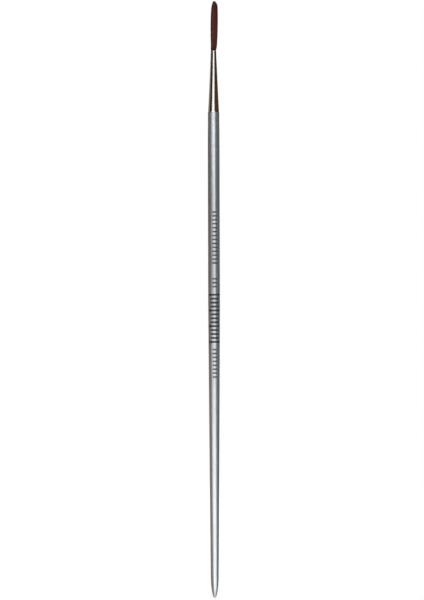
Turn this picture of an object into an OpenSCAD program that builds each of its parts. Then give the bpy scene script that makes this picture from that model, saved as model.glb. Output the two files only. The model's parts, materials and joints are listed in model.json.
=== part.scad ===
// Fine detail brush with a long turned handle, a drawn metal ferrule and a round tuft.
// It stands upright with the tuft at the top. The origin lies on the axis, at the
// middle of the straight grip. Sizes are in millimetres.

/* [Handle] */
// Diameter of the straight grip, over the lacquer
grip_d = 6; // [5:0.1:8]
// Length of the straight grip
grip_len = 80; // [40:1:110]
// Length of the neck between the ferrule and the grip
neck_len = 17; // [8:1:30]
// How far the neck stands proud of the ferrule, all round
shoulder_step = 0.17; // [0.05:0.01:0.4]
// Rounding of the shoulder's edge
shoulder_round = 0.1; // [0.04:0.01:0.14]
// Length of the long taper below the grip
taper_len = 139; // [60:1:180]
// How late the taper sets in, where 0 is a straight cone
taper_ease = 0.25; // [0:0.05:0.6]
// Diameter at the lower end of the taper, over the lacquer
tail_d = 4.05; // [3:0.05:4.9]
// Length of the rounded tail
tail_len = 11.8; // [5:0.2:16]
// Thickness of the lacquer, all its dipped coats together
lacquer_t = 0.2; // [0.07:0.01:0.3]

/* [Ferrule] */
// Length of the ferrule
ferrule_len = 31.6; // [30:0.2:42]
// Outer diameter of the ferrule at its base
ferrule_base_d = 5.45; // [4.8:0.05:7]
// Outer diameter of the ferrule at its mouth
ferrule_mouth_d = 2.75; // [2.6:0.05:3.6]
// Wall of the ferrule
ferrule_wall = 0.22; // [0.15:0.01:0.3]
// How far the sides are drawn in halfway up
ferrule_waist = 0.07; // [0:0.01:0.15]
// Length of the turned-in lip at the mouth
lip_len = 0.9; // [0.4:0.1:2]
// How far the lip turns in
lip_in = 0.12; // [0.05:0.01:0.14]
// Rounding of the ferrule's edge on the shoulder
base_round = 0.08; // [0.03:0.01:0.14]

/* [Tuft] */
// Length of the tuft above the mouth
tuft_len = 25.4; // [18:0.2:36]
// Greatest diameter of the tuft
belly_d = 3.68; // [3.3:0.02:4.6]
// Height of the belly above the mouth
belly_h = 14; // [9:0.5:16]
// Height above the mouth at which the strands have spread over the lip
flare_h = 1.8; // [1.2:0.1:4]
// How far the strands draw together at the tip, as a share of the belly
tip_draw = 0.25; // [0:0.05:0.35]
// Bluntness of the tip, where 2 is an ellipse
tip_blunt = 3.5; // [2:0.1:5]
// Number of strands
strand_count = 310; // [300:5:320]
// Width of a strand where it passes the mouth
strand_d = 0.08; // [0.05:0.005:0.085]
// Width of a strand at the belly
belly_strand_d = 0.13; // [0.08:0.005:0.14]
// Width of a strand where it starts to narrow to a point
point_strand_d = 0.11; // [0.07:0.005:0.12]
// Share of the way from the belly to its tip at which a strand starts to narrow
point_start = 0.65; // [0.4:0.05:0.8]
// Clearance between the outer strands and the ferrule at the mouth
mouth_gap = 0.02; // [0.01:0.01:0.06]

/* [Inside the ferrule] */
// Length of the tenon that enters the ferrule
tenon_len = 12; // [8:0.5:14]
// Thickness of the glue film round the tenon
glue_t = 0.1; // [0.05:0.01:0.2]
// Thickness of the glue that covers the top of the tenon
glue_cap = 0.6; // [0.2:0.1:1.5]
// Number of glue grooves round the tenon
groove_count = 3; // [1:1:4]
// Width of a glue groove
groove_w = 0.8; // [0.4:0.1:1.2]
// Depth of a glue groove
groove_depth = 0.15; // [0.05:0.05:0.3]
// Depth of the root stub's top below the mouth
stub_depth = 4; // [3:0.5:5]
// Length of the root stub
stub_len = 7.5; // [5:0.5:8]
// Depth of the strands in the root stub
strand_set = 0.5; // [0.3:0.1:1.5]
// Depth of the resin's top below the top of the root stub
resin_drop = 1; // [0.4:0.1:2]
// Thickness of the resin under the root stub
resin_floor = 1; // [0.4:0.1:1.6]
// Thickness of the binding thread
thread_d = 0.2; // [0.1:0.01:0.22]
// Number of turns of the binding thread
thread_turns = 6; // [3:1:8]
// Height of the first turn above the foot of the root stub
thread_h = 0.8; // [0.4:0.1:1.4]

/* [Hidden] */

// Faces round a turned surface, and points along the curved stretches of an outline
$fn = 96;
neck_steps = 8;
taper_steps = 10;
tail_steps = 14;
ferrule_steps = 12;
round_steps = 5;
thread_steps = 6;

// Half of the arc that a turn of thread shows between its neighbours
thread_arc = 75;

// Radii and heights that follow from the driving sizes
grip_r = grip_d / 2;
tail_r = tail_d / 2;
base_r = ferrule_base_d / 2;
mouth_r = ferrule_mouth_d / 2;
belly_r = belly_d / 2;
neck_r = base_r + shoulder_step;
shoulder_z = grip_len / 2 + neck_len;
taper_z = -grip_len / 2;
tail_z = taper_z - taper_len;
mouth_z = shoulder_z + ferrule_len;
stub_top = ferrule_len - stub_depth;
stub_foot = stub_top - stub_len;
stub_r = mouth_r - ferrule_wall - mouth_gap;

// How far a cutting shape reaches past what it cuts
cut = 0.5;

// Angle between one strand and the next, the golden angle, which spaces them evenly
golden_angle = 180 * (3 - sqrt(5));
strand_sides = 3;

// Smooth rise from 0 to 1
function ease(t) = t * t * (3 - 2 * t);

// Outline of the handle from below the shoulder to the tip of the tail, a skin's thickness inside
function handle_line(skin) = concat(
    [for (i = [1:neck_steps])
        let (t = i / neck_steps)
        [neck_r + (grip_r - neck_r) * ease(t) - skin, shoulder_z - neck_len * t]],
    [for (i = [0:taper_steps])
        let (t = i / taper_steps)
        [grip_r + (tail_r - grip_r) * t * (1 - taper_ease + taper_ease * t) - skin, taper_z - taper_len * t]],
    [for (i = [1:tail_steps])
        let (a = 90 * i / tail_steps)
        [(tail_r - skin) * (i == tail_steps ? 0 : cos(a)), tail_z - (tail_len - skin) * sin(a)]]
);

// Quarter round of radius r whose centre is c, from straight up to straight out
function edge_round(c, r) = [
    for (i = [0:round_steps])
        let (a = 90 - 90 * i / round_steps)
        c + r * [cos(a), sin(a)]
];

// Outer radius of the ferrule at height h above its base
function ferrule_r(h) =
    let (t = h / ferrule_len)
    base_r + (mouth_r - base_r) * t - 4 * ferrule_waist * t * (1 - t);

// Bore of the ferrule as pairs of height and radius, and its radius at any height
bore_line = [
    for (i = [0:ferrule_steps])
        let (h = ferrule_len * i / ferrule_steps)
        [h, ferrule_r(h) - ferrule_wall]
];
function bore_r(h) = lookup(h, bore_line);

// Radius of the tenon where it leaves the shoulder
tenon_r = bore_r(0) - glue_t;

// Outline of the bore from height h0 to h1, drawn in by inset
function bore_points(h0, h1, inset) = concat(
    [[bore_r(h0) - inset, h0]],
    [for (p = bore_line) if (p[0] > h0 && p[0] < h1) [p[1] - inset, p[0]]],
    [[bore_r(h1) - inset, h1]]
);

// Points of a list in reverse order
function reverse(list) = [for (i = [len(list) - 1:-1:0]) list[i]];

// Share of the belly's radius that the tuft's dome has at share s of the way from belly to tip
function dome(s) = sqrt(1 - pow(s, tip_blunt));

// Share of the belly's radius that the strands spread over there
function draw_in(s) = 1 - tip_draw * s * s;

// Share s at which the strand that starts at share rho of the bundle's radius meets the dome
function tip_share(rho, low = 0, high = 1, halvings = 14) =
    let (s = (low + high) / 2)
    halvings == 0 ? s
    : rho * draw_in(s) < dome(s) ? tip_share(rho, s, high, halvings - 1)
    : tip_share(rho, low, s, halvings - 1);

// Radius that the strands spread over at height h above the mouth
function spread(h) =
    h <= 0 ? stub_r - strand_d / 2
    : h < belly_h ? mouth_r + (belly_r - mouth_r) * (1 - pow(1 - h / belly_h, 2)) - belly_strand_d / 2
    : belly_r * draw_in((h - belly_h) / (tuft_len - belly_h)) - belly_strand_d / 2;

// Heights of a strand's rings above the mouth, for a strand whose tip is at height tip_h
function ring_heights(tip_h) = [
    -stub_depth - strand_set,
    0,
    flare_h,
    belly_h,
    belly_h + point_start * (tip_h - belly_h)
];

// Widths of a strand at its rings
ring_widths = [
    strand_d,
    strand_d,
    (strand_d + belly_strand_d) / 2,
    belly_strand_d,
    point_strand_d
];

// Points of one strand, ring by ring with one corner inwards, and its tip last
function strand_points(rho, angle, tip_h) = let (heights = ring_heights(tip_h)) concat(
    [for (k = [0:len(heights) - 1]) for (j = [0:strand_sides - 1])
        let (turn = angle + 180 + 360 * j / strand_sides)
        [rho * spread(heights[k]) * cos(angle) + ring_widths[k] / 2 * cos(turn),
         rho * spread(heights[k]) * sin(angle) + ring_widths[k] / 2 * sin(turn),
         heights[k]]],
    [[rho * spread(tip_h) * cos(angle), rho * spread(tip_h) * sin(angle), tip_h]]
);

// Triangles of one strand: its foot, its sides and the fan round its tip
function strand_faces() = let (last = len(ring_widths) - 1, n = strand_sides) concat(
    [[for (j = [0:n - 1]) j]],
    [for (k = [0:last - 1]) for (j = [0:n - 1]) [k * n + j, k * n + j + n, k * n + (j + 1) % n + n]],
    [for (k = [0:last - 1]) for (j = [0:n - 1]) [k * n + j, k * n + (j + 1) % n + n, k * n + (j + 1) % n]],
    [for (j = [0:n - 1]) [last * n + j, (last + 1) * n, last * n + (j + 1) % n]]
);

// Solid that fills the bore from height h0 to h1 above the ferrule's base
module bore_fill(h0, h1, inset = 0) {
    translate([0, 0, shoulder_z])
        rotate_extrude()
            polygon(concat([[0, h0]], bore_points(h0, h1, inset), [[0, h1]]));
}

// Tenon that enters the ferrule, grooved to key the glue, with a foot that reaches below the shoulder
module tenon(foot) {
    difference() {
        union() {
            bore_fill(0, tenon_len, glue_t);
            translate([0, 0, shoulder_z - foot])
                cylinder(r = tenon_r, h = foot);
        }
        for (i = [1:groove_count]) {
            h = tenon_len * i / (groove_count + 1);
            translate([0, 0, shoulder_z + h - groove_w / 2])
                difference() {
                    cylinder(r = base_r, h = groove_w);
                    translate([0, 0, -cut])
                        cylinder(r = bore_r(h) - glue_t - groove_depth, h = groove_w + 2 * cut);
                }
        }
    }
}

// Turned wooden handle under its lacquer, with the tenon on top
module handle_core() {
    color("#d8b98c")
        union() {
            rotate_extrude()
                polygon(concat(
                    [[0, shoulder_z - lacquer_t], [neck_r - lacquer_t, shoulder_z - lacquer_t]],
                    handle_line(lacquer_t)
                ));
            tenon(2 * lacquer_t);
        }
}

// Lacquer over the whole handle and its shoulder, open where the tenon leaves
module handle_lacquer() {
    color("#c4c7cb")
        rotate_extrude()
            polygon(concat(
                [[tenon_r, shoulder_z]],
                edge_round([neck_r - shoulder_round, shoulder_z - shoulder_round], shoulder_round),
                handle_line(0),
                reverse(handle_line(lacquer_t)),
                [[neck_r - lacquer_t, shoulder_z - lacquer_t], [tenon_r, shoulder_z - lacquer_t]]
            ));
}

// Drawn metal cone, seated on the shoulder, with its lip turned in round the tuft
module ferrule() {
    lip_h = ferrule_len - lip_len;
    foot = [base_r - base_round, base_round];
    color("#cfcbc4")
        translate([0, 0, shoulder_z])
            rotate_extrude()
                polygon(concat(
                    [for (p = edge_round([0, 0], base_round)) foot + [p[0], -p[1]]],
                    [for (i = [1:ferrule_steps])
                        let (h = base_round + (lip_h - base_round) * i / ferrule_steps)
                        [ferrule_r(h), h]],
                    [for (i = [1:round_steps])
                        let (a = 90 * i / round_steps)
                        [ferrule_r(lip_h) - lip_in * (1 - cos(a)), lip_h + lip_len * sin(a)]],
                    reverse(bore_points(0, ferrule_len, 0))
                ));
}

// Glue that fills the bore round the tenon and covers its top
module tenon_glue() {
    color("#c9a95f")
        difference() {
            bore_fill(0, tenon_len + glue_cap);
            tenon(cut);
        }
}

// Resin that locks the root stub and its binding in the bore
module root_resin() {
    color("#8f6132")
        difference() {
            bore_fill(stub_foot - resin_floor, stub_top - resin_drop);
            root_stub();
            thread_band();
        }
}

// Thread wound turn against turn round the root stub
module thread_band() {
    translate([0, 0, shoulder_z + stub_foot + thread_h])
        rotate_extrude()
            polygon(concat(
                [[stub_r, thread_turns * thread_d], [stub_r, 0]],
                [for (turn = [0:thread_turns - 1]) for (i = [0:thread_steps])
                    let (a = thread_arc * (2 * i / thread_steps - 1))
                    [stub_r + thread_d / 2 * (1 + cos(a)), thread_d * (turn + (1 + sin(a)) / 2)]]
            ));
}

module binding_thread() {
    color("#ece3cf")
        thread_band();
}

// Roots of the tuft, soaked with resin into one stub
module root_stub() {
    translate([0, 0, shoulder_z + stub_foot])
        cylinder(r = stub_r, h = stub_len);
}

// Tuft of tapered strands that stand in the root stub and end on the dome
module bristle_tuft() {
    color("#4f2c29")
        union() {
            root_stub();
            for (i = [0:strand_count - 1]) {
                rho = sqrt((i + 0.5) / strand_count);
                tip_h = belly_h + (tuft_len - belly_h) * tip_share(rho);
                translate([0, 0, mouth_z])
                    polyhedron(points = strand_points(rho, golden_angle * i, tip_h), faces = strand_faces());
            }
        }
}

handle_core();
handle_lacquer();
ferrule();
tenon_glue();
root_resin();
binding_thread();
bristle_tuft();
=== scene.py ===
"""Looks of a fine detail brush: lacquered handle, drawn ferrule and a tuft of tapered filaments."""

import json
import math

import bpy
import numpy as np
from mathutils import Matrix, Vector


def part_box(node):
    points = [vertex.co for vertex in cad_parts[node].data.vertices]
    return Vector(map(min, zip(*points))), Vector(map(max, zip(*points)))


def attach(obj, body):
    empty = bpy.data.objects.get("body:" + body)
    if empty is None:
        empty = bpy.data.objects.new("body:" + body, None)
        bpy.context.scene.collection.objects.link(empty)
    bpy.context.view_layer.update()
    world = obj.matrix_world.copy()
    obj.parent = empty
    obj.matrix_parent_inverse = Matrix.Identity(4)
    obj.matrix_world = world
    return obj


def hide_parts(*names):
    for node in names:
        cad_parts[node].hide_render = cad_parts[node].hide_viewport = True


bl_info = {
    "name": "Fine Detail Brush",
    "version": (1, 0, 0),
    "blender": (4, 5, 0),
    "location": "View3D > Sidebar > Brush",
    "description": "Dresses the solids of a fine detail brush with lacquer, ferrule, filaments and stage",
    "category": "Add Mesh",
}

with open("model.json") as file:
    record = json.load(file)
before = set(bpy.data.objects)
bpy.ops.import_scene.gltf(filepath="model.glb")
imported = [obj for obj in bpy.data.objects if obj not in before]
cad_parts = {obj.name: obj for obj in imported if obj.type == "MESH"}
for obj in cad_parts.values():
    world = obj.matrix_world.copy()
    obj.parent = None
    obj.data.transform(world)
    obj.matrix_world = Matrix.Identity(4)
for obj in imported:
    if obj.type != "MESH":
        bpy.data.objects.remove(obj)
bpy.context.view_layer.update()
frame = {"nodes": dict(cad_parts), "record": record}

MM = 0.001
WHITE = (1.0, 1.0, 1.0)

# Heights and radii that the solids give
ferrule_low, ferrule_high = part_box("ferrule")
shoulder_z = ferrule_low.z
mouth_z = ferrule_high.z
base_r = ferrule_high.x
tail_tip_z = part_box("handle_lacquer")[0].z
tuft_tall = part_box("bristle_tuft")[1].z - mouth_z
grip = next(mount for mount in frame["record"]["mounts"] if mount["name"] == "grip")["dims"]

# Points along the stretches of the outlines
NECK_POINTS = 40
GRIP_POINTS = 60
TAPER_POINTS = 110
TAIL_POINTS = 40
SHOULDER_POINTS = 8
SIDE_POINTS = 90
LIP_POINTS = 16
BORE_POINTS = 50
STUB_POINTS = 5

# Points round the turned pieces, and the radius below which a row is one point on the axis
HANDLE_TURN = 112
FERRULE_TURN = 128
STUB_TURN = 48
ON_AXIS = 1e-9

# Reach of the lacquer's bead in bead lengths, and the rounding of the root stub's edges
BEAD_REACH = 6
STUB_ROUND = 0.08 * MM

# Start of the random draws, and the angle from one filament to the next
SEED = 11
GOLDEN_ANGLE = math.pi * (3 - math.sqrt(5))

# Power that gives a filament's way from the middle, and the scatter of its place in even spacings
CROWDING = 0.47
SCATTER = 0.25

# Usual shortfall of a tip, the share of the tuft's height above which there is none, and the halvings
# that find a tip
SHORTFALL = 0.1 * MM
CROWN = 0.985
HALVINGS = 30

# Sides of a filament, and its rings in flare heights, in belly heights and on the way from belly to tip
SIDES = 4
FLARE_RINGS = (0.0, 0.3, 0.65, 1.0, 1.5, 2.4)
BELLY_RINGS = (0.55, 1.0)
TIP_RINGS = (0.35, 0.62, 0.82, 0.94, 1.0)

# Share of the lean that comes as the tuft opens, and the flare heights that it takes
FLARE_LEAN = 0.35
LEAN_RISE = 2.4

# Sway of a filament to each side, and the angle that its wave runs through
SWAY = 0.012 * MM
SWAY_ANGLE = 9

# Share of the belly's height at which a filament is full, then the start, length and curve of its point
# on the way from belly to tip, and the width of its end in tip widths
FULL_WIDTH = 0.5
POINT_START = 0.6
POINT_LEN = 0.34
POINT_CURVE = 1.5
END_WIDTH = 0.25

# Power of the height with which the tuft's shading turns up, and the spread of its tones
CROWN_TURN = 6
LOCK_TONES = 0.3
STRAND_TONES = 0.16

# Points of the floor and of a card, and the height of the cards' top
FLOOR_POINTS = 9
CARD_ROWS = 161
CARD_COLUMNS = 40
CARD_TOP = 1.2

# Heights between which a card's edge moves on to its next angle, and its glow to the next colour
EDGE_RISES = ((-0.33, -0.22), (-0.155, -0.09), (0.1, 0.15), (0.19, 0.225), (0.252, 0.295))
GLOW_RISES = ((-0.16, -0.02), (0.17, 0.225), (0.25, 0.295))

# Cards round the brush: glowing sheets that only the gloss shows, as painted reflections. The angles of
# their edges, in degrees, and their glow colours run from the foot up.
CARDS = {
    "left_card": {
        "card_r": 0.9,
        "foot_z": -1.2,
        "outer": (-162,) * 6,
        "inner": (-30, -54, 5, -53, -34, -13),
        "reflected_glows": ((0.23, 0.19, 0.135), (0.02, 0.018, 0.015), (0.4, 0.35, 0.29), (0.3, 0.26, 0.21)),
    },
    # Near-black card: a painted dark band in the ferrule's reflection
    "dark_gap": {
        "card_r": 0.88,
        "foot_z": 0.19,
        "outer": (-88, -88, -88, -88, -88, -140),
        "inner": (-34, -34, -34, -34, -34, -13),
        "reflected_glows": ((0.02, 0.018, 0.016),) * 4,
    },
    "right_card": {
        "card_r": 0.9,
        "foot_z": -1.2,
        "outer": (162,) * 6,
        "inner": (74, 31, 26, 23, 12, 33),
        "reflected_glows": (
            (0.044, 0.068, 0.073), (0.024, 0.033, 0.036), (0.095, 0.056, 0.032), (0.03, 0.02, 0.017)
        ),
    },
}


def setting(kind, **limits):
    """Maker of one kind of value that a user can change, from its name, description and default."""
    def make(name, description, default):
        return kind(name=name, description=description, default=default, **limits)
    return make


# Lengths are in metres, angles in radians, shares from 0 to 1 and colours linear
length = setting(bpy.props.FloatProperty, unit="LENGTH", precision=6)
angle = setting(bpy.props.FloatProperty, subtype="ANGLE")
share = setting(bpy.props.FloatProperty, subtype="FACTOR", min=0, max=1)
number = setting(bpy.props.FloatProperty)
count = setting(bpy.props.IntProperty, min=1)
colour = setting(bpy.props.FloatVectorProperty, subtype="COLOR", size=3, min=0, max=1)


class HandleSettings(bpy.types.PropertyGroup):
    """Sizes and colours of the lacquered handle"""

    grip_r: length("Grip radius", "Radius of the straight grip, over the lacquer", grip["r_mm"] * MM)
    grip_len: length("Grip length", "Length of the straight grip", grip["length_mm"] * MM)
    shoulder_step: length("Shoulder step", "How far the neck stands proud of the ferrule", 0.17 * MM)
    shoulder_round: length("Shoulder rounding", "Rounding of the shoulder's edge", 0.1 * MM)
    tail_r: length("Tail radius", "Radius at the lower end of the taper, over the lacquer", 2.025 * MM)
    tail_len: length("Tail length", "Length of the rounded tail", 11.8 * MM)
    taper_ease: share("Taper ease", "How late the taper sets in, where 0 is a straight cone", 0.25)
    skin: length("Lacquer thickness", "Thickness of all the dipped coats together", 0.2 * MM)
    tenon_r: length("Tenon radius", "Radius of the hole that the tenon leaves through", 2.405 * MM)
    bead: length("Lacquer bead", "How far the lacquer swells below the shoulder's edge", 0.025 * MM)
    bead_len: length("Bead length", "Length over which the lacquer's swelling dies out", 0.7 * MM)
    silver: colour("Silver", "Colour of the lacquer's flakes", (0.612, 0.624, 0.638))
    shade: colour("Shaded silver", "Colour of the flakes that lie turned away", (0.464, 0.474, 0.486))
    ink: colour("Ink", "Colour of the printed scale", (0.009, 0.01, 0.012))


class FerruleSettings(bpy.types.PropertyGroup):
    """Sizes and colours of the drawn ferrule"""

    mouth_r: length("Mouth radius", "Outer radius at the mouth", 1.395 * MM)
    wall: length("Wall", "Thickness of the metal", 0.22 * MM)
    waist: length("Waist", "How far the sides are drawn in halfway up", 0.012 * MM)
    foot_flare: length("Foot flare", "How far the foot is opened on the shoulder", 0.09 * MM)
    lip_len: length("Lip length", "Length of the turned-in lip", 0.9 * MM)
    lip_in: length("Lip turn", "How far the lip turns in", 0.12 * MM)
    base_round: length("Base rounding", "Rounding of the edge on the shoulder", 0.08 * MM)
    # Height of the painted shade at the ferrule's foot, in the joint with the lacquer
    joint_shade_len: length("Joint line", "Height of the dark line in the joint", 0.35 * MM)
    nickel: colour("Nickel", "Colour of the polished metal", (0.68, 0.645, 0.6))
    # Tarnish colour: real wear along the drawing marks, and painted shade in the joint
    tarnish_and_joint_shade: colour("Tarnish", "Colour of the metal in the joint and along its marks", (0.42, 0.38, 0.33))


class TuftSettings(bpy.types.PropertyGroup):
    """Sizes and colours of the filament tuft"""

    strands: count("Strands", "Number of filaments", 1720)
    locks: count("Locks", "Number of locks that the filaments gather in", 48)
    belly_r: length("Belly radius", "Greatest radius of the tuft", 1.86 * MM)
    belly_h: length("Belly height", "Height of the belly above the mouth", 14 * MM)
    flare_h: length("Flare height", "Height at which the filaments have spread over the lip", 1.2 * MM)
    root_r: length("Root radius", "Radius of the bundle inside the mouth", 1.135 * MM)
    stub_depth: length("Stub depth", "Depth of the root stub's top below the mouth", 4 * MM)
    stub_len: length("Stub length", "Length of the resin-soaked root stub", 7.5 * MM)
    set_depth: length("Set depth", "Depth of the filaments in the root stub", 0.5 * MM)
    root_width: length("Root width", "Width of a filament at the mouth", 0.048 * MM)
    belly_width: length("Belly width", "Width of a filament at the belly", 0.084 * MM)
    tip_width: length("Tip width", "Width of a filament just before its point", 0.036 * MM)
    lean: length("Lean", "How far the tuft leans sideways at its tip", 0.58 * MM)
    tip_draw: share("Tip draw", "How far the filaments draw together at the tip", 0.15)
    tip_blunt: number("Tip bluntness", "Bluntness of the tip, where 2 is an ellipse", 4.5)
    tip_uneven: number("Uneven tip", "How much blunter the tip is on its right than in the middle", 1.4)
    tip_side: number("Tip side", "How far aside the longest filament stands, in belly radii", -0.24)
    gather: share("Gather", "How far a lock draws together towards its tip", 0.34)
    body: share("Body", "How far the shading follows the whole tuft rather than each filament", 0.65)
    dark: colour("Dark filament", "Colour of the darkest filaments", (0.026, 0.006, 0.005))
    brown: colour("Brown filament", "Colour of most filaments", (0.089, 0.021, 0.018))
    light: colour("Light filament", "Colour of the lightest filaments", (0.155, 0.053, 0.045))


class InnerSettings(bpy.types.PropertyGroup):
    """Colours of the pieces inside"""

    late_wood: colour("Late wood", "Colour of the wood's dark lines", (0.52, 0.33, 0.17))
    early_wood: colour("Early wood", "Colour of the wood between its dark lines", (0.72, 0.51, 0.3))
    deep_glue: colour("Deep glue", "Colour of the glue where it is cloudy", (0.42, 0.25, 0.06))
    clear_glue: colour("Clear glue", "Colour of the glue where it is clear", (0.66, 0.47, 0.16))
    deep_resin: colour("Deep resin", "Colour of the resin where it is cloudy", (0.16, 0.06, 0.015))
    clear_resin: colour("Clear resin", "Colour of the resin where it is clear", (0.32, 0.15, 0.045))
    dark_cotton: colour("Dark cotton", "Colour of the thread between its strands", (0.66, 0.58, 0.44))
    pale_cotton: colour("Pale cotton", "Colour of the thread's strands", (0.86, 0.8, 0.66))


class StageSettings(bpy.types.PropertyGroup):
    """Camera, floor and light"""

    distance: length("Distance", "Distance of the camera from the brush", 850.9 * MM)
    eye_z: length("Eye height", "Height of the camera over the middle of the grip", -38.65 * MM)
    aside: length("Aside", "How far the camera stands to the left of the brush", 1.05 * MM)
    roll: angle("Roll", "Roll of the camera", math.radians(0.14))
    lens: number("Lens", "Focal length in millimetres on a 36 mm frame", 100)
    floor_grey: colour("Floor", "Colour of the floor", (0.8, 0.8, 0.8))
    floor_r: length("Floor reach", "How far the floor reaches to each side", 2.5)
    floor_near: length("Shaded floor", "Distance at which the floor starts to turn white", 0.24)
    floor_far: length("White floor from", "Distance from which the floor is plain white", 0.6)
    lift: share("White floor", "White that is added to the floor's shading where it is seen", 0.55)
    fill: number("Fill", "Strength of the even light from all round", 0.38)
    plain: number("Plain lights", "Brightness of the lights that the gloss doesn't show", 1.8)
    ferrule_key: number("Ferrule softbox", "Brightness before the ferrule, where 1 is white", 0.58)
    neck_key: number("Neck softbox", "Brightness before the neck, where 1 is white", 2.8)
    tail_key: number("Tail softbox", "Brightness before the tail, where 1 is white", 1.22)
    back_key: number("Back strip", "Brightness behind the brush, where 1 is white", 1.0)
    lamp_tint: colour("Lamp tint", "Colour of the softboxes", (0.92, 0.97, 1.0))


def smooth_rise(t):
    """Smooth rise from 0 to 1: three t squared less two t cubed."""
    return t * t * (3 - 2 * t)


def quarter(steps):
    """Angles of a quarter turn, from 0 to a right angle."""
    return np.linspace(0, math.pi / 2, steps)


def unit_circle(turn):
    """Points at the given angles of a unit circle, in a last axis of two."""
    return np.stack([np.cos(turn), np.sin(turn)], axis=-1)


def line(*stretches):
    """One outline from stretches of (radii, heights), as rows of radius and height."""
    return np.concatenate([np.column_stack(np.broadcast_arrays(r, z)) for r, z in stretches])


def turned_surface(outline, segments):
    """Points and faces of a closed outline turned round the Z axis.

    Point (i, j) is (r_i cos a_j, r_i sin a_j, z_i), with a_j the j-th of even steps round the turn.
    A row on the axis is one point, so the faces beside it are triangles.
    """
    radii, heights = outline.T
    pole = radii < ON_AXIS
    first = np.concatenate([[0], np.cumsum(np.where(pole, 1, segments))[:-1]])
    step = np.arange(segments)
    row = np.where(pole[:, None], first[:, None], first[:, None] + step)
    turn = 2 * math.pi * step / segments
    grid = np.stack(np.broadcast_arrays(
        radii[:, None] * np.cos(turn), radii[:, None] * np.sin(turn), heights[:, None]
    ), axis=-1)
    points = grid[np.where(pole[:, None], step == 0, True)]
    here, there = row, np.roll(row, -1, axis=0)
    quads = np.stack([here, np.roll(here, -1, axis=1), np.roll(there, -1, axis=1), there], axis=-1)
    starts, ends = pole, np.roll(pole, -1)
    return points, [
        quads[~starts & ~ends].reshape(-1, 4),
        quads[starts & ~ends][..., [0, 2, 3]].reshape(-1, 3),
        quads[~starts & ends][..., [0, 1, 2]].reshape(-1, 3),
    ]


def enclosed(points, faces):
    """Volume inside the faces, less than 0 where they point inwards.

    It is the sum of the triple products of their corners, divided by 6.
    """
    volume = 0.0
    for corners in faces:
        for k in range(1, corners.shape[1] - 1):
            a, b, c = (points[corners[:, i]] for i in (0, k, k + 1))
            volume += np.einsum("ij,ij->", a, np.cross(b, c)) / 6
    return volume


def new_object(name, data):
    """Object of a mesh, lamp or camera, in the scene."""
    item = bpy.data.objects.new(name, data)
    bpy.context.scene.collection.objects.link(item)
    return item


def new_mesh(name, points, faces, material):
    """Object of a mesh from its points and arrays of faces, with its material."""
    mesh = bpy.data.meshes.new(name)
    mesh.from_pydata(points.tolist(), [], sum((corners.tolist() for corners in faces), []))
    mesh.materials.append(material)
    return new_object(name, mesh)


def make_piece(name, points, faces, material, crease=40):
    """A smooth mesh piece at the origin that rides on the brush, with its faces outwards.

    Edges that turn by more than the crease, in degrees, stay sharp.
    """
    if enclosed(points, faces) < 0:
        faces = [corners[:, ::-1] for corners in faces]
    piece = new_mesh(name, points, faces, material)
    piece.data.shade_smooth()
    piece.data.set_sharp_from_angle(angle=math.radians(crease))
    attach(piece, "root")
    return piece


def handle_outline(handle, inset):
    """Radii and heights of the handle, from below its shoulder to the tip of its tail, inset all over.

    The neck follows the smooth rise. The taper's radius falls with t (1 - ease + ease t).
    The tail is a quarter ellipse.
    """
    neck_r = base_r + handle.shoulder_step
    grip_top = handle.grip_len / 2
    tail_z = tail_tip_z + handle.tail_len
    neck = np.linspace(0, 1, NECK_POINTS)[1:]
    straight = np.linspace(0, 1, GRIP_POINTS)[1:]
    taper = np.linspace(0, 1, TAPER_POINTS)[1:]
    tail = quarter(TAIL_POINTS)[1:-1]
    eased = taper * (1 - handle.taper_ease + handle.taper_ease * taper)
    return line(
        (neck_r + (handle.grip_r - neck_r) * smooth_rise(neck) - inset,
         shoulder_z + (grip_top - shoulder_z) * neck),
        (handle.grip_r - inset, grip_top - 2 * grip_top * straight),
        (handle.grip_r + (handle.tail_r - handle.grip_r) * eased - inset,
         -grip_top + (tail_z + grip_top) * taper),
        ((handle.tail_r - inset) * np.cos(tail), tail_z - (handle.tail_len - inset) * np.sin(tail)),
        (0.0, np.array([tail_tip_z + inset])),
    )


def coat_outline(handle):
    """Closed outline of the lacquer: over the shoulder, down the outside and back up the inside.

    Below the shoulder's edge the coat swells by a bead that dies out as a bell curve.
    """
    neck_r = base_r + handle.shoulder_step
    edge = quarter(SHOULDER_POINTS)[::-1]
    outer = handle_outline(handle, 0)
    drop = (shoulder_z - outer[:, 1]) / handle.bead_len
    outer[:, 0] += handle.bead * np.exp(-((drop - 1) ** 2)) * (drop < BEAD_REACH)
    inner = handle_outline(handle, handle.skin)[::-1]
    return np.concatenate([
        line(
            (handle.tenon_r, np.array([shoulder_z])),
            (neck_r - handle.shoulder_round * (1 - np.cos(edge)),
             shoulder_z - handle.shoulder_round * (1 - np.sin(edge))),
        ),
        outer,
        inner,
        line((np.array([neck_r - handle.skin, handle.tenon_r]), shoulder_z - handle.skin)),
    ])


def ferrule_r(ferrule, t):
    """Outer radius at share t of the ferrule's height: a straight cone less a shallow parabola.

    The foot is opened by the flare times the square of 1 less t.
    """
    cone = base_r + (ferrule.mouth_r - base_r) * t
    return cone + ferrule.foot_flare * (1 - t) ** 2 - 4 * ferrule.waist * t * (1 - t)


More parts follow.
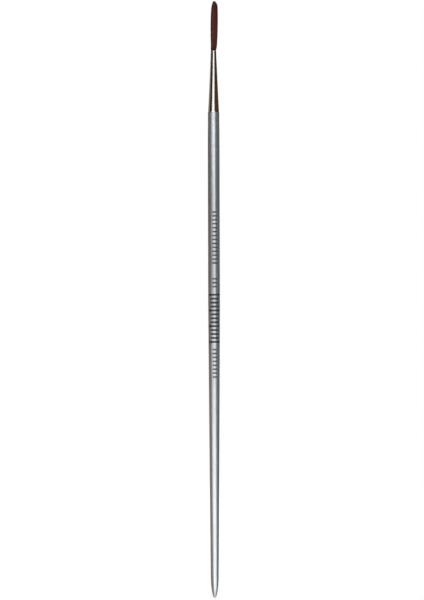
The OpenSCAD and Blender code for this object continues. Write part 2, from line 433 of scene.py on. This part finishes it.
def ferrule_outline(ferrule):
    """Closed outline of the ferrule: rounded foot, drawn side, turned-in lip and bore.

    The foot is a quarter circle and the lip a quarter ellipse. The bore keeps the wall's thickness.
    """
    tall = mouth_z - shoulder_z
    lip_h = tall - ferrule.lip_len
    side = np.linspace(ferrule.base_round, lip_h, SIDE_POINTS)[1:]
    turn = quarter(LIP_POINTS)
    bore = np.linspace(tall, 0, BORE_POINTS)
    lip_r = ferrule_r(ferrule, lip_h / tall)
    foot_r = ferrule_r(ferrule, ferrule.base_round / tall)
    return line(
        (foot_r - ferrule.base_round * (1 - np.sin(turn)),
         shoulder_z + ferrule.base_round * (1 - np.cos(turn))),
        (ferrule_r(ferrule, side / tall), shoulder_z + side),
        (lip_r - ferrule.lip_in * (1 - np.cos(turn[1:])),
         shoulder_z + lip_h + ferrule.lip_len * np.sin(turn[1:])),
        (ferrule_r(ferrule, bore / tall) - ferrule.wall, shoulder_z + bore),
    )


def sunflower(total, power):
    """Places on a sunflower spiral in a circle of radius 1.

    Place i lies at i golden angles, and (i + 0.5) / total to the given power from the middle.
    """
    i = np.arange(total)
    return (((i + 0.5) / total) ** power)[:, None] * unit_circle(GOLDEN_ANGLE * i)


def bundle(tuft, random):
    """Place of each filament in a bundle of radius 1, the middles of the locks, and each one's lock.

    The places scatter a little round a sunflower spiral, and the rim holds them in. The locks' middles
    stand on such a spiral too, and a filament belongs to the nearest.
    """
    place = sunflower(tuft.strands, power=CROWDING)
    place += random.normal(0, SCATTER / math.sqrt(tuft.strands), place.shape)
    place /= np.maximum(1, np.linalg.norm(place, axis=1, keepdims=True))
    middle = sunflower(tuft.locks, power=0.5)
    lock = np.linalg.norm(place[:, None] - middle[None], axis=-1).argmin(axis=1)
    return place, middle, lock


def from_apex(tuft, place):
    """Way of each filament from the longest one, as a share of the way on to the rim in that direction.

    The rim is a unit circle, so the way on to it solves a quadratic equation. The second result says how
    far the direction points to the right.
    """
    apex = np.array([tuft.tip_side, 0.0])
    way = np.linalg.norm(place - apex, axis=1)
    direction = (place - apex) / way[:, None]
    along = direction @ apex
    return way / (np.sqrt(along ** 2 + 1 - apex @ apex) - along), direction[:, 0]


def tip_shares(tuft, place):
    """Share s of the way from belly to tip at which each filament meets the dome.

    The filament at share w of the way from apex to rim stands at w (1 - draw s squared), and the dome
    is the root of 1 less s to the power of the bluntness, which grows from left to right. The share
    is found by halving the interval.
    """
    way, to_right = from_apex(tuft, place)
    blunt = tuft.tip_blunt + tuft.tip_uneven * to_right
    low, high = np.zeros_like(way), np.ones_like(way)
    for _ in range(HALVINGS):
        s = (low + high) / 2
        inside = way * (1 - tuft.tip_draw * s * s) < np.sqrt(1 - s ** blunt)
        low, high = np.where(inside, s, low), np.where(inside, high, s)
    return low


def tip_heights(tuft, place, random):
    """Heights of the tips above the mouth: those of the dome, less a random shortfall below its crown."""
    tip_h = tuft.belly_h + (tuft_tall - tuft.belly_h) * tip_shares(tuft, place)
    return tip_h - random.exponential(SHORTFALL, len(tip_h)) * (tip_h < CROWN * tuft_tall)


def ring_heights(tuft, tip_h):
    """Heights of each filament's rings above the mouth, from its foot in the root stub to its tip."""
    low = np.concatenate([
        [-tuft.stub_depth - tuft.set_depth],
        tuft.flare_h * np.array(FLARE_RINGS),
        tuft.belly_h * np.array(BELLY_RINGS),
    ])
    return np.concatenate([
        np.broadcast_to(low, (len(tip_h), len(low))),
        tuft.belly_h + np.array(TIP_RINGS) * (tip_h - tuft.belly_h)[:, None],
    ], axis=1)


def spread(tuft, ferrule, h):
    """Radius of the bundle at height h above the mouth: bore, flare, belly and draw-in.

    It rises to the belly as a parabola, and shrinks by the draw times s squared from there to the tip.
    It opens from the bore's radius with the root of the smooth rise.
    """
    rise = ferrule.mouth_r + (tuft.belly_r - ferrule.mouth_r) * (1 - (1 - h / tuft.belly_h) ** 2)
    s = np.clip((h - tuft.belly_h) / (tuft_tall - tuft.belly_h), 0, 1)
    above = np.where(h < tuft.belly_h, rise, tuft.belly_r * (1 - tuft.tip_draw * s * s))
    opened = np.sqrt(smooth_rise(np.clip(h / tuft.flare_h, 0, 1)))
    return tuft.root_r + (above - tuft.root_r) * opened


def ring_centres(tuft, ferrule, inner, heights, up, random):
    """Middles of the rings: each place in the bundle times the spread there, moved aside.

    The lean starts as the tuft opens and grows with the height. The sway is a sine wave up the filament
    with a start and a direction of its own, and it grows with the height too.
    """
    centre = inner * spread(tuft, ferrule, heights)[..., None]
    opened = smooth_rise(np.clip(heights / (LEAN_RISE * tuft.flare_h), 0, 1))
    centre[..., 0] += tuft.lean * (FLARE_LEAN * opened + (1 - FLARE_LEAN) * up)
    wave = random.uniform(0, 2 * math.pi, (2, len(heights), 1))
    sway = SWAY * np.sin(wave[0] + SWAY_ANGLE * up) * up
    return centre + sway[..., None] * unit_circle(wave[1])


def ring_widths(tuft, heights, tip_h):
    """Widths of the rings: a filament swells by the smooth rise, and narrows to its point by a power."""
    swell = smooth_rise(np.clip(heights / (FULL_WIDTH * tuft.belly_h), 0, 1))
    width = tuft.root_width + (tuft.belly_width - tuft.root_width) * swell
    way = np.clip((heights - tuft.belly_h) / (tip_h - tuft.belly_h)[:, None], 0, 1)
    width += (tuft.tip_width - width) * np.clip((way - POINT_START) / POINT_LEN, 0, 1) ** POINT_CURVE
    width[:, -1] = END_WIDTH * tuft.tip_width
    return width


def strand_faces(strands, rings):
    """Faces of the filaments: walls from ring to ring, a foot and an end."""
    index = np.arange(strands * rings * SIDES).reshape(strands, rings, SIDES)
    around = np.roll(index, -1, axis=2)
    walls = np.stack([index[:, :-1], around[:, :-1], around[:, 1:], index[:, 1:]], axis=-1)
    return [walls.reshape(-1, 4), index[:, 0, ::-1], index[:, -1]]


def strand_tones(tuft, lock, random):
    """Tone of each filament, from 0 for dark to 1 for light: a part of its lock's and one of its own."""
    lock_tone = random.normal(0, LOCK_TONES, tuft.locks)
    return np.clip(0.5 + lock_tone[lock] + random.normal(0, STRAND_TONES, tuft.strands), 0, 1)


def filaments(tuft, ferrule):
    """Points, faces, shades and normals of all the filaments, as arrays over filament, ring and side.

    A filament is drawn towards the middle of its lock with the square of the height. Each ring is a
    square of the filament's width at a random turn. A normal lies between the way out of the filament
    and the way out of the whole tuft.
    """
    random = np.random.default_rng(SEED)
    place, middle, lock = bundle(tuft, random)
    tip_h = tip_heights(tuft, place, random)
    heights = ring_heights(tuft, tip_h)
    up = np.clip(heights / tuft_tall, 0, 1)
    gathered = (tuft.gather * up ** 2)[..., None]
    inner = place[:, None] + gathered * (middle[lock] - place)[:, None]
    centre = ring_centres(tuft, ferrule, inner, heights, up, random)
    width = ring_widths(tuft, heights, tip_h)
    strands, rings = heights.shape
    turn = random.uniform(0, 2 * math.pi, (strands, 1, 1)) + 2 * math.pi * np.arange(SIDES) / SIDES
    outward = unit_circle(turn)

    points = np.empty((strands, rings, SIDES, 3))
    points[..., :2] = centre[:, :, None] + outward * width[..., None, None] / 2
    points[..., 2] = mouth_z + heights[..., None]
    normals = np.empty_like(points)
    normals[..., :2] = tuft.body * inner[:, :, None] + (1 - tuft.body) * outward
    normals[..., 2] = tuft.body * (up ** CROWN_TURN)[..., None]
    normals /= np.linalg.norm(normals, axis=-1, keepdims=True)
    shades = {
        "tone": np.repeat(strand_tones(tuft, lock, random), rings * SIDES),
        "along": np.repeat(up, SIDES),
    }
    return points.reshape(-1, 3), strand_faces(strands, rings), shades, normals.reshape(-1, 3)


def root_stub(tuft):
    """Points and faces of the resin-soaked roots: a turned stub whose edges are quarter circles."""
    top = mouth_z - tuft.stub_depth
    foot = top - tuft.stub_len
    turn = quarter(STUB_POINTS)
    return turned_surface(line(
        (0.0, np.array([foot])),
        (tuft.root_r - STUB_ROUND * (1 - np.sin(turn)), foot + STUB_ROUND * (1 - np.cos(turn))),
        (tuft.root_r - STUB_ROUND * (1 - np.cos(turn)), top - STUB_ROUND * (1 - np.sin(turn))),
        (0.0, np.array([top])),
    ), STUB_TURN)


def tuft_surface(tuft, ferrule):
    """Points, faces, shades and normals of the filaments and their root stub together.

    The stub's normals point away from its middle, and its shades are 0.
    """
    points, faces, shades, normals = filaments(tuft, ferrule)
    stub_points, stub_faces = root_stub(tuft)
    faces += [corners + len(points) for corners in stub_faces]
    unshaded = np.zeros(len(stub_points))
    shades = {name: np.append(values, unshaded) for name, values in shades.items()}
    outward = stub_points - stub_points.mean(axis=0)
    outward /= np.linalg.norm(outward, axis=1, keepdims=True)
    return np.concatenate([points, stub_points]), faces, shades, np.concatenate([normals, outward])


def add_shades(piece, shades):
    """Stores one value for each point of a piece under each name."""
    for name, values in shades.items():
        attribute = piece.data.attributes.new(name, "FLOAT", "POINT")
        attribute.data.foreach_set("value", values.astype(np.float32))


def feed(tree, node, inputs):
    """Sets or links a node's inputs, by name or number."""
    for key, value in inputs.items():
        if isinstance(value, bpy.types.NodeSocket):
            tree.links.new(value, node.inputs[key])
        else:
            node.inputs[key].default_value = value


def place_node(tree, kind, inputs=None, **settings):
    """Adds a node with its settings and its inputs."""
    node = tree.nodes.new(kind)
    for name, value in settings.items():
        setattr(node, name, value)
    feed(tree, node, inputs or {})
    return node


def sums(tree, operation, *values):
    """Result of a Math node on numbers or sockets."""
    return place_node(tree, "ShaderNodeMath", dict(enumerate(values)), operation=operation).outputs[0]


def raised(tree, value, mask, by):
    """Value that is raised by an amount where a mask is 1."""
    return sums(tree, "ADD", value, sums(tree, "MULTIPLY", mask, by))


def blended(tree, first, second, first_share):
    """Sum of the first value times its share and the second times the rest."""
    second_part = sums(tree, "MULTIPLY", second, 1 - first_share)
    return sums(tree, "ADD", sums(tree, "MULTIPLY", first, first_share), second_part)


def mixed(tree, factor, first, second):
    """Colour between two colours or sockets."""
    inputs = {0: factor, 6: first, 7: second}
    return place_node(tree, "ShaderNodeMix", inputs, data_type="RGBA").outputs[2]


def ranged(tree, value, low=0.0, high=1.0, to_low=0.0, to_high=1.0):
    """Value carried from one range to another and held at its ends."""
    inputs = {"Value": value, "From Min": low, "From Max": high, "To Min": to_low, "To Max": to_high}
    return place_node(tree, "ShaderNodeMapRange", inputs).outputs["Result"]


def noise(tree, vector, scale, detail=2.0, rough=0.5):
    """Cloudy value between 0 and 1 at a point."""
    inputs = {"Vector": vector, "Scale": scale, "Detail": detail, "Roughness": rough}
    return place_node(tree, "ShaderNodeTexNoise", inputs).outputs["Fac"]


def lengthwise(tree, vector, squeeze):
    """Point squeezed along the brush, which draws the pattern on it out to streaks."""
    inputs = {"Vector": vector, "Scale": (1.0, 1.0, squeeze)}
    return place_node(tree, "ShaderNodeMapping", inputs).outputs[0]


def cells(tree, vector, scale):
    """Outputs of a texture of small cells."""
    return place_node(tree, "ShaderNodeTexVoronoi", {"Vector": vector, "Scale": scale}).outputs


def object_point(tree):
    """Point in the piece's own frame."""
    return place_node(tree, "ShaderNodeTexCoord").outputs["Object"]


def parted(tree, point):
    """The point's three coordinates."""
    return place_node(tree, "ShaderNodeSeparateXYZ", {0: point}).outputs


def rgba(rgb):
    """Colour with full alpha."""
    return (*rgb, 1.0)


def new_group(name, sizes, masks):
    """Tree, input and output of an empty shader group that takes a point and sizes and gives masks."""
    tree = bpy.data.node_groups.new(name, "ShaderNodeTree")
    tree.interface.new_socket("Point", in_out="INPUT", socket_type="NodeSocketVector")
    for size in sizes:
        tree.interface.new_socket(size, in_out="INPUT", socket_type="NodeSocketFloat")
    for mask in masks:
        tree.interface.new_socket(mask, in_out="OUTPUT", socket_type="NodeSocketFloat")
    return tree, tree.nodes.new("NodeGroupInput"), tree.nodes.new("NodeGroupOutput")


def use_group(tree, name, build, inputs):
    """Outputs of a group in a material with its own values. Its first use builds it."""
    group = bpy.data.node_groups.get(name) or build(name)
    return place_node(tree, "ShaderNodeGroup", inputs, node_tree=group).outputs


def handling_haze(name):
    """Group: soft smudges of handling and fine scratches along the brush, as a mask each."""
    tree, source, target = new_group(name, ("Smudge Scale", "Scratch Scale"), ("Smudges", "Scratches"))
    value = source.outputs
    cloud = noise(tree, value["Point"], value["Smudge Scale"], detail=4.0, rough=0.6)
    streaks = lengthwise(tree, value["Point"], squeeze=0.012)
    streak = noise(tree, streaks, value["Scratch Scale"], detail=3.0, rough=0.7)
    feed(tree, target, {
        "Smudges": ranged(tree, cloud, low=0.38, high=0.66),
        "Scratches": ranged(tree, streak, low=0.42, high=0.72),
    })
    return tree


def tick_row(name):
    """Group: mask of a row of even printed ticks down the front of the handle.

    A point is inked where its angle round the handle is within the half arc of the row's middle, and
    where its drop from the row's top, in pitches, is below the count and its fraction below the width.
    """
    sizes = ("Top", "Pitch", "Count", "Width", "Half Arc", "Middle")
    tree, source, target = new_group(name, sizes, ("Mask",))
    value = source.outputs
    axes = parted(tree, value["Point"])
    front = sums(tree, "MULTIPLY", axes["Y"], -1.0)
    round_angle = sums(tree, "ARCTAN2", axes["X"], front)
    off_middle = sums(tree, "ABSOLUTE", sums(tree, "SUBTRACT", round_angle, value["Middle"]))
    in_arc = sums(tree, "LESS_THAN", off_middle, value["Half Arc"])
    drop = sums(tree, "DIVIDE", sums(tree, "SUBTRACT", value["Top"], axes["Z"]), value["Pitch"])
    in_tick = sums(tree, "LESS_THAN", sums(tree, "FRACT", drop), value["Width"])
    below_top = sums(tree, "GREATER_THAN", drop, 0.0)
    above_foot = sums(tree, "LESS_THAN", drop, value["Count"])
    in_row = sums(tree, "MULTIPLY", below_top, above_foot)
    mask = sums(tree, "MULTIPLY", sums(tree, "MULTIPLY", in_arc, in_tick), in_row)
    feed(tree, target, {"Mask": mask})
    return tree


def printed_scale(tree, point):
    """Mask of the printed scale: rows of short ticks, and a field whose every fourth tick is longer."""
    middle = 0.12
    field_top = -35.5 * MM
    short = {"Pitch": 2 * MM, "Width": 0.36, "Half Arc": 0.4}
    rows = (
        short | {"Top": 6.5 * MM, "Count": 13.5},
        short | {"Top": -27.5 * MM, "Count": 2.5},
        {"Top": field_top, "Pitch": 2 * MM, "Count": 12.5, "Width": 0.48, "Half Arc": 0.76},
        {"Top": field_top, "Pitch": 8 * MM, "Count": 3.2, "Width": 0.12, "Half Arc": 1.15},
        short | {"Top": -63.5 * MM, "Count": 7.5},
    )
    mask = 0.0
    for row in rows:
        ticks = use_group(tree, "Tick row", tick_row, {"Point": point, "Middle": middle} | row)
        mask = sums(tree, "MAXIMUM", mask, ticks["Mask"])
    return mask


def new_material(name):
    """Material with its tree, its shader and the point in the piece's frame."""
    material = bpy.data.materials.new(name)
    material.use_nodes = True
    tree = material.node_tree
    return material, tree, tree.nodes["Principled BSDF"], object_point(tree)


def bump(tree, height, distance, strength):
    """Normal of a surface raised by a height."""
    inputs = {"Height": height, "Distance": distance, "Strength": strength}
    return place_node(tree, "ShaderNodeBump", inputs).outputs["Normal"]


def silver_lacquer(handle):
    """Silver metallic lacquer with flakes, orange peel, handling haze and a printed scale."""
    material, tree, shader, point = new_material("silver_lacquer")
    flakes = cells(tree, point, scale=12000.0)["Color"]
    flake = place_node(tree, "ShaderNodeSeparateColor", {0: flakes}).outputs[0]
    clouds = noise(tree, point, scale=60.0, detail=3.0)
    facing = blended(tree, flake, clouds, first_share=0.55)
    silver = mixed(tree, facing, rgba(handle.shade), rgba(handle.silver))
    wear = {"Point": point, "Smudge Scale": 90.0, "Scratch Scale": 2600.0}
    haze = use_group(tree, "Handling haze", handling_haze, wear)
    pores = ranged(tree, noise(tree, point, scale=14000.0), low=0.3, high=0.5, to_low=0.75)
    inked = sums(tree, "MULTIPLY", printed_scale(tree, point), pores)
    rough = ranged(tree, haze["Smudges"], to_low=0.278, to_high=0.305)
    rough = raised(tree, rough, haze["Scratches"], by=0.03)
    peel = raised(tree, noise(tree, point, scale=700.0), flake, by=0.12)
    feed(tree, shader, {
        "Base Color": mixed(tree, inked, silver, rgba(handle.ink)),
        "Roughness": raised(tree, rough, inked, by=0.25),
        "Metallic": ranged(tree, inked, to_low=0.8, to_high=0.0),
        "Normal": bump(tree, peel, distance=0.02 * MM, strength=0.15),
    })
    return material


def drawn_nickel(ferrule):
    """Polished nickel with lengthwise drawing marks and smudges, and painted shade of the step in its
    joint with the handle.
    """
    material, tree, shader, point = new_material("drawn_nickel")
    wear = {"Point": point, "Smudge Scale": 260.0, "Scratch Scale": 5200.0}
    haze = use_group(tree, "Handling haze", handling_haze, wear)
    joint_shade_top = shoulder_z + ferrule.joint_shade_len
    # Painted shade: the metal darkens towards the shoulder, where the step to the lacquer shades the
    # joint
    joint = ranged(tree, parted(tree, point)["Z"], shoulder_z, joint_shade_top, to_low=0.8, to_high=0.0)
    marks = sums(tree, "MULTIPLY", haze["Scratches"], 0.35)
    marks_and_joint_shade = sums(tree, "MAXIMUM", joint, marks)
    rough = ranged(tree, haze["Smudges"], to_low=0.06, to_high=0.11)
    feed(tree, shader, {
        "Base Color": mixed(tree, marks_and_joint_shade, rgba(ferrule.nickel), rgba(ferrule.tarnish_and_joint_shade)),
        "Roughness": raised(tree, rough, haze["Scratches"], by=0.04),
        "Metallic": 1.0,
        "Normal": bump(tree, haze["Scratches"], distance=0.004 * MM, strength=0.08),
    })
    return material


def brown_filament(tuft):
    """Satin filament: each strand has its own brown with fine flecks, and its root is darker."""
    material, tree, shader, point = new_material("brown_filament")
    tone = place_node(tree, "ShaderNodeAttribute", attribute_name="tone").outputs["Fac"]
    along = place_node(tree, "ShaderNodeAttribute", attribute_name="along").outputs["Fac"]
    fleck = noise(tree, lengthwise(tree, point, squeeze=0.05), scale=9000.0)
    shade = raised(tree, tone, sums(tree, "SUBTRACT", fleck, 0.5), by=0.5)
    dark_half = mixed(tree, ranged(tree, shade, high=0.5), rgba(tuft.dark), rgba(tuft.brown))
    hue = mixed(tree, ranged(tree, shade, low=0.5), dark_half, rgba(tuft.light))
    rooted = ranged(tree, along, high=0.1, to_low=0.65, to_high=0.0)
    feed(tree, shader, {
        "Base Color": mixed(tree, rooted, hue, rgba(tuft.dark)),
        "Roughness": ranged(tree, tone, to_low=0.55, to_high=0.42),
        "Specular IOR Level": 0.1,
    })
    return material


def grained_wood(inner):
    """Bare turned hardwood with growth lines along the stick."""
    material, tree, shader, point = new_material("grained_wood")
    streaks = lengthwise(tree, point, squeeze=0.04)
    grain = noise(tree, streaks, scale=1400.0, detail=4.0, rough=0.6)
    fine = noise(tree, streaks, scale=6000.0)
    lines = blended(tree, grain, fine, first_share=0.7)
    early = ranged(tree, lines, low=0.35, high=0.65)
    feed(tree, shader, {
        "Base Color": mixed(tree, early, rgba(inner.late_wood), rgba(inner.early_wood)),
        "Roughness": ranged(tree, fine, to_low=0.5, to_high=0.75),
        "Normal": bump(tree, lines, distance=0.02 * MM, strength=0.3),
    })
    return material


def cured_glue(name, deep, clear, scale):
    """Cured glue or resin with cloudy depth and small bubbles."""
    material, tree, shader, point = new_material(name)
    cloud = noise(tree, point, scale, detail=3.0)
    bubbles = cells(tree, point, 3.0 * scale)["Distance"]
    feed(tree, shader, {
        "Base Color": mixed(tree, cloud, rgba(deep), rgba(clear)),
        "Roughness": ranged(tree, bubbles, high=0.6, to_low=0.4, to_high=0.22),
        "Normal": bump(tree, bubbles, distance=0.01 * MM, strength=0.3),
    })
    return material


def twisted_cotton(inner):
    """Cotton thread with the slanting lines of its twist."""
    material, tree, shader, point = new_material("twisted_cotton")
    slanted = place_node(tree, "ShaderNodeMapping", {"Vector": point, "Rotation": (0.6, 0.3, 0.0)})
    strands = {"Vector": slanted.outputs[0], "Scale": 2600.0, "Distortion": 2.0, "Detail": 2.0}
    twist = place_node(tree, "ShaderNodeTexWave", strands).outputs["Fac"]
    feed(tree, shader, {
        "Base Color": mixed(tree, twist, rgba(inner.dark_cotton), rgba(inner.pale_cotton)),
        "Roughness": ranged(tree, twist, to_low=0.95, to_high=0.8),
        "Normal": bump(tree, twist, distance=0.02 * MM, strength=0.5),
    })
    return material


def seen_rays(tree):
    """Mask of the rays that show the backdrop: from the camera, off metal and through glass."""
    path = place_node(tree, "ShaderNodeLightPath").outputs
    mirrored = sums(tree, "MAXIMUM", path["Is Glossy Ray"], path["Is Transmission Ray"])
    return sums(tree, "MAXIMUM", path["Is Camera Ray"], mirrored)


def stage_sheet(name, grid, material):
    """A sheet of the stage through a grid of points, which isn't part of the brush."""
    rows, columns = grid.shape[:2]
    index = np.arange(rows * columns).reshape(rows, columns)
    faces = np.stack([index[:-1, :-1], index[1:, :-1], index[1:, 1:], index[:-1, 1:]], axis=-1)
    sheet = new_mesh(name, grid.reshape(-1, 3), [faces.reshape(-1, 4)], material)
    return sheet


def pale_floor(stage):
    """Matt floor. Where it is seen, white is added to its shading, and far out it is plain white."""
    material, tree, shader, point = new_material("pale_floor")
    matt = {"Base Color": rgba(stage.floor_grey), "Roughness": 0.9, "Specular IOR Level": 0.0}
    feed(tree, shader, matt)
    seen = seen_rays(tree)
    lift_strength = sums(tree, "MULTIPLY", seen, stage.lift)
    lift = place_node(tree, "ShaderNodeEmission", {"Strength": lift_strength})
    lifted = place_node(tree, "ShaderNodeAddShader", {0: shader.outputs[0], 1: lift.outputs[0]})
    white = place_node(tree, "ShaderNodeEmission", {"Strength": 1.0})
    from_middle = place_node(tree, "ShaderNodeVectorMath", {0: point}, operation="LENGTH")
    whitened = ranged(tree, from_middle.outputs["Value"], stage.floor_near, stage.floor_far)
    far = sums(tree, "MULTIPLY", seen, whitened)
    both = place_node(tree, "ShaderNodeMixShader", {0: far, 1: lifted.outputs[0], 2: white.outputs[0]})
    feed(tree, tree.nodes["Material Output"], {"Surface": both.outputs[0]})
    return material


def make_floor(stage):
    """Floor at the foot of the brush, out of its gloss: point (i, j) is (x_j, y_i, foot)."""
    step = np.linspace(-stage.floor_r, stage.floor_r, FLOOR_POINTS)
    level = np.stack(np.broadcast_arrays(step[None], step[:, None], tail_tip_z), axis=-1)
    floor = stage_sheet("floor", level, pale_floor(stage))
    floor.visible_glossy = False
    floor.visible_shadow = False


def card_glow(name, reflected_glows):
    """Glow of a card, a painted reflection, with one colour after the other from its foot up."""
    material, tree, shader, point = new_material(name)
    tree.nodes.remove(shader)
    height = parted(tree, point)["Z"]
    # Painted reflection: emitted colour that only glossy rays see
    glow_colour = rgba(reflected_glows[0])
    for (start, end), next_glow in zip(GLOW_RISES, reflected_glows[1:]):
        glow_colour = mixed(tree, ranged(tree, height, start, end), glow_colour, rgba(next_glow))
    glow = place_node(tree, "ShaderNodeEmission", {"Color": glow_colour})
    feed(tree, tree.nodes["Material Output"], {"Surface": glow.outputs[0]})
    return material


def card_edge(z, angles):
    """Angle of a card's edge at height z: six angles from the foot up, joined by smooth rises."""
    edge = angles[0]
    for (start, end), step in zip(EDGE_RISES, np.diff(angles)):
        edge = edge + step * smooth_rise(np.clip((z - start) / (end - start), 0, 1))
    return edge


def make_card(name, card_r, foot_z, outer, inner, reflected_glows):
    """Curved glowing card, a painted reflection, that masks the softboxes and that only the brush's gloss
    shows.

    Point (i, j) is (R sin a_ij, -R cos a_ij, z_i). Angles count from the camera, to the right. The card
    runs from its outer edge to its inner edge.
    """
    z = np.linspace(foot_z, CARD_TOP, CARD_ROWS)[:, None]
    across = np.linspace(0, 1, CARD_COLUMNS)[None]
    a = np.radians(card_edge(z, outer) * (1 - across) + card_edge(z, inner) * across)
    wall = np.stack(np.broadcast_arrays(card_r * np.sin(a), -card_r * np.cos(a), z), axis=-1)
    card = stage_sheet(name, wall, card_glow(name, reflected_glows))
    card.visible_camera = False
    card.visible_diffuse = False
    card.visible_transmission = False
    card.visible_volume_scatter = False


def make_softbox(name, brightness, tint, angles, heights, distance):
    """Softbox between two angles and two heights, behind the brush if its distance is below 0.

    Its power is its brightness times pi times its area, so that it looks white at a brightness of 1.
    """
    left, right = (abs(distance) * math.tan(math.radians(a)) for a in angles)
    low_z, high_z = heights
    lamp = bpy.data.lights.new(name, "AREA")
    lamp.shape = "RECTANGLE"
    lamp.size = right - left
    lamp.size_y = high_z - low_z
    lamp.color = tint
    lamp.energy = brightness * math.pi * lamp.size * lamp.size_y
    softbox = new_object(name, lamp)
    softbox.location = ((left + right) / 2, -distance, (low_z + high_z) / 2)
    softbox.rotation_euler = (math.copysign(math.pi / 2, distance), 0.0, 0.0)
    softbox.visible_camera = False
    return softbox


def make_world(stage):
    """White world that is dimmer as a fill.

    It isn't sampled as a lamp, because the cards would then shade the brush from it.
    """
    world = bpy.data.worlds.new("studio")
    bpy.context.scene.world = world
    world.use_nodes = True
    world.cycles.sampling_method = "NONE"
    tree = world.node_tree
    strength = ranged(tree, seen_rays(tree), to_low=stage.fill)
    feed(tree, tree.nodes["Background"], {"Color": rgba(WHITE), "Strength": strength})


def make_lights(stage):
    """Softboxes outside the cards, and plain lights without gloss inside them."""
    tint = stage.lamp_tint
    front = (-52, 34)
    make_softbox("ferrule_softbox", stage.ferrule_key, tint, front, heights=(0.28, 0.8), distance=1.25)
    make_softbox("neck_softbox", stage.neck_key, tint, front, heights=(0.155, 0.28), distance=1.25)
    make_softbox("tail_softbox", stage.tail_key, tint, (-52, 52), heights=(-0.75, -0.12), distance=0.95)
    make_softbox("back_strip", stage.back_key, tint, (-16, 16), heights=(-0.8, 0.5), distance=-0.95)
    for name, distance in (("front_light", 0.7), ("back_light", -0.7)):
        plain = make_softbox(name, stage.plain, WHITE, (-22, 22), heights=(-0.3, 0.3), distance=distance)
        plain.visible_glossy = False


def make_camera(stage):
    """Camera in front of the brush, level and rolled a little."""
    data = bpy.data.cameras.new("camera")
    data.lens = stage.lens
    data.sensor_width = 36
    data.clip_start = 0.01
    data.clip_end = 50
    camera = new_object("camera", data)
    camera.location = (-stage.aside, -stage.distance, stage.eye_z)
    camera.rotation_euler = (math.pi / 2, stage.roll, 0.0)
    bpy.context.scene.camera = camera


class BRUSH_OT_coat(bpy.types.Operator):
    """Lay the silver lacquer over the handle"""

    bl_idname = "detail_brush.coat"
    bl_label = "Lacquered Handle"

    def execute(self, context):
        handle = context.scene.brush_handle
        points, faces = turned_surface(coat_outline(handle), HANDLE_TURN)
        piece = make_piece("lacquer_coat", points, faces, silver_lacquer(handle))
        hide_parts("handle_lacquer")
        return {"FINISHED"}


class BRUSH_OT_ferrule(bpy.types.Operator):
    """Draw the nickel ferrule on to the shoulder"""

    bl_idname = "detail_brush.ferrule"
    bl_label = "Drawn Ferrule"

    def execute(self, context):
        ferrule = context.scene.brush_ferrule
        points, faces = turned_surface(ferrule_outline(ferrule), FERRULE_TURN)
        piece = make_piece("drawn_ferrule", points, faces, drawn_nickel(ferrule))
        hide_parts("ferrule")
        return {"FINISHED"}


class BRUSH_OT_tuft(bpy.types.Operator):
    """Set the tuft of filaments and its root stub in the ferrule"""

    bl_idname = "detail_brush.tuft"
    bl_label = "Filament Tuft"

    def execute(self, context):
        tuft = context.scene.brush_tuft
        points, faces, shades, normals = tuft_surface(tuft, context.scene.brush_ferrule)
        piece = make_piece("filament_tuft", points, faces, brown_filament(tuft), crease=180)
        add_shades(piece, shades)
        piece.data.normals_split_custom_set_from_vertices(normals.tolist())
        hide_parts("bristle_tuft")
        return {"FINISHED"}


class BRUSH_OT_inner(bpy.types.Operator):
    """Finish the pieces inside: wood, glue, resin and thread"""

    bl_idname = "detail_brush.inner"
    bl_label = "Inner Pieces"

    def execute(self, context):
        inner = context.scene.brush_inner
        finishes = {
            "handle_core": grained_wood(inner),
            "tenon_glue": cured_glue("amber_glue", inner.deep_glue, inner.clear_glue, scale=700.0),
            "root_resin": cured_glue("brown_resin", inner.deep_resin, inner.clear_resin, scale=900.0),
            "binding_thread": twisted_cotton(inner),
        }
        for name, material in finishes.items():
            slots = frame["nodes"][name].data.materials
            slots.clear()
            slots.append(material)
        return {"FINISHED"}


class BRUSH_OT_stage(bpy.types.Operator):
    """Set up the floor, the glowing cards that paint the reflections, the light and the camera"""

    bl_idname = "detail_brush.stage"
    bl_label = "Stage"

    def execute(self, context):
        stage = context.scene.brush_stage
        make_floor(stage)
        for name, card in CARDS.items():
            make_card(name, **card)
        make_world(stage)
        make_lights(stage)
        make_camera(stage)
        context.scene.view_settings.view_transform = "Standard"
        return {"FINISHED"}


class BRUSH_PT_panel(bpy.types.Panel):
    """Sizes, colours and steps of the brush"""

    bl_idname = "BRUSH_PT_panel"
    bl_label = "Fine Detail Brush"
    bl_space_type = "VIEW_3D"
    bl_region_type = "UI"
    bl_category = "Brush"

    def draw(self, context):
        for pointer, group in GROUPS.items():
            box = self.layout.box()
            box.label(text=group.__doc__)
            for name in group.__annotations__:
                box.prop(getattr(context.scene, pointer), name)
        for step in STEPS:
            self.layout.operator(step.bl_idname)


GROUPS = {
    "brush_handle": HandleSettings,
    "brush_ferrule": FerruleSettings,
    "brush_tuft": TuftSettings,
    "brush_inner": InnerSettings,
    "brush_stage": StageSettings,
}
STEPS = (BRUSH_OT_coat, BRUSH_OT_ferrule, BRUSH_OT_tuft, BRUSH_OT_inner, BRUSH_OT_stage)
CLASSES = (*GROUPS.values(), *STEPS, BRUSH_PT_panel)


def register():
    """Adds the classes, and the settings to the scene."""
    for item in CLASSES:
        bpy.utils.register_class(item)
    for pointer, group in GROUPS.items():
        setattr(bpy.types.Scene, pointer, bpy.props.PointerProperty(type=group))


def unregister():
    """Takes the settings and the classes away again."""
    for pointer in GROUPS:
        delattr(bpy.types.Scene, pointer)
    for item in reversed(CLASSES):
        bpy.utils.unregister_class(item)


def main():
    register()
    bpy.ops.detail_brush.coat()
    bpy.ops.detail_brush.ferrule()
    bpy.ops.detail_brush.tuft()
    bpy.ops.detail_brush.inner()
    bpy.ops.detail_brush.stage()


if __name__ == "__main__":
    main()
